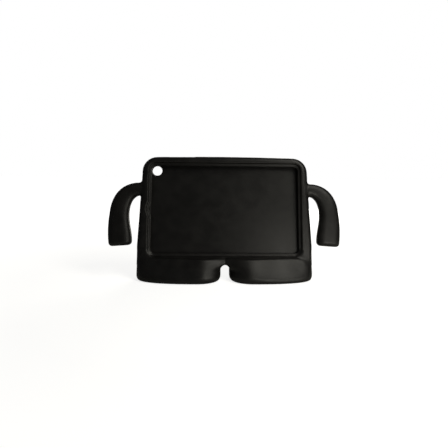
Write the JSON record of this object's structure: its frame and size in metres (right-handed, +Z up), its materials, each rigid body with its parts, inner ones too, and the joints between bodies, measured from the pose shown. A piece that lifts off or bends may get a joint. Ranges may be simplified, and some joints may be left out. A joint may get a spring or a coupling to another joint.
{
  "type": "silicone tablet case",
  "caption": "Soft one-piece case that frames a tablet in landscape, with two curved carrying arms, a notched pair of legs to stand on and a slight lean back.",
  "frame": {"origin": "middle of the bounding box seen from above, on the floor under the two soles", "axes": "+X towards the right of the screen, +Z up, the screen faces -Y and leans back 12 degrees"},
  "size_m": [0.375, 0.0824, 0.1949],
  "materials": {
    "soft_rubber": "matt black, finely grained moulded surface"
  },
  "bodies": {
    "root": {"tablet_case": "soft_rubber"}
  },
  "joints": []
}
